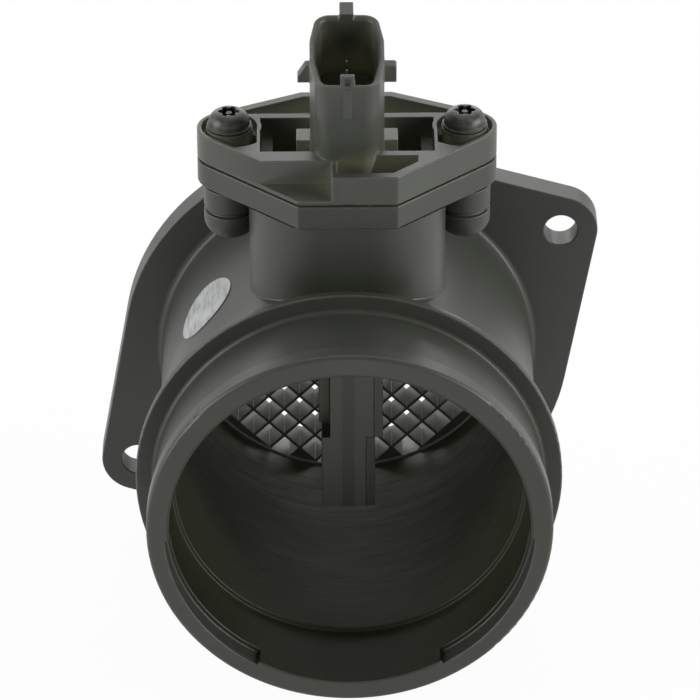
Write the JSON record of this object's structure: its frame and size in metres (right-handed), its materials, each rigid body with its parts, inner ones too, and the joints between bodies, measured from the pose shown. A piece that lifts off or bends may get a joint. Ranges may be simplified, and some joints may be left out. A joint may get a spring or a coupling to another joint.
{
  "type": "mass airflow sensor",
  "caption": "Moulded intake tube with a bolt flange, hose lip and diamond flow grid; a plug-in sensor with a leaning connector socket holds its measuring shaft in the air.",
  "frame": {"origin": "on the tube's axis, at the flange's mating face", "axes": "+Y along the tube towards the air inlet and out of the mating face, +Z from the tube's axis towards the connector, +X to the right seen from the outlet"},
  "size_m": [0.116, 0.108, 0.1527],
  "materials": {
    "housing_plastic": "dark grey glass-filled plastic, fine moulded grain",
    "sensor_plastic": "dark grey glass-filled plastic, moulded",
    "cover_plastic": "dark grey plastic, smooth",
    "grid_plastic": "dark grey plastic, thin moulded webs",
    "seal_rubber": "black rubber ring",
    "base_aluminium": "bare sheet",
    "board_ceramic": "white ceramic board with dark parts",
    "carrier_plastic": "black moulding compound",
    "chip_silicon": "polished silicon",
    "thermistor_glass": "glazed bead on tinned leads",
    "screw_steel": "black zinc-plated steel",
    "terminal_metal": "tinned copper alloy",
    "label_film": "grey printed film, bare"
  },
  "bodies": {
    "root": {"housing": "housing_plastic", "flow_grid": "grid_plastic", "flange_seal": "seal_rubber", "plug_seal": "seal_rubber", "sensor_body": "sensor_plastic", "channel_cover": "cover_plastic", "electronics_cover": "cover_plastic", "base_plate": "base_aluminium", "circuit_board": "board_ceramic", "chip_carrier": "carrier_plastic", "sensor_chip": "chip_silicon", "temperature_sensor": "thermistor_glass", "screw_left": "screw_steel", "screw_right": "screw_steel", "label": "label_film", "terminal_1": "terminal_metal", "terminal_2": "terminal_metal", "terminal_3": "terminal_metal", "terminal_4": "terminal_metal", "terminal_5": "terminal_metal"}
  },
  "joints": []
}
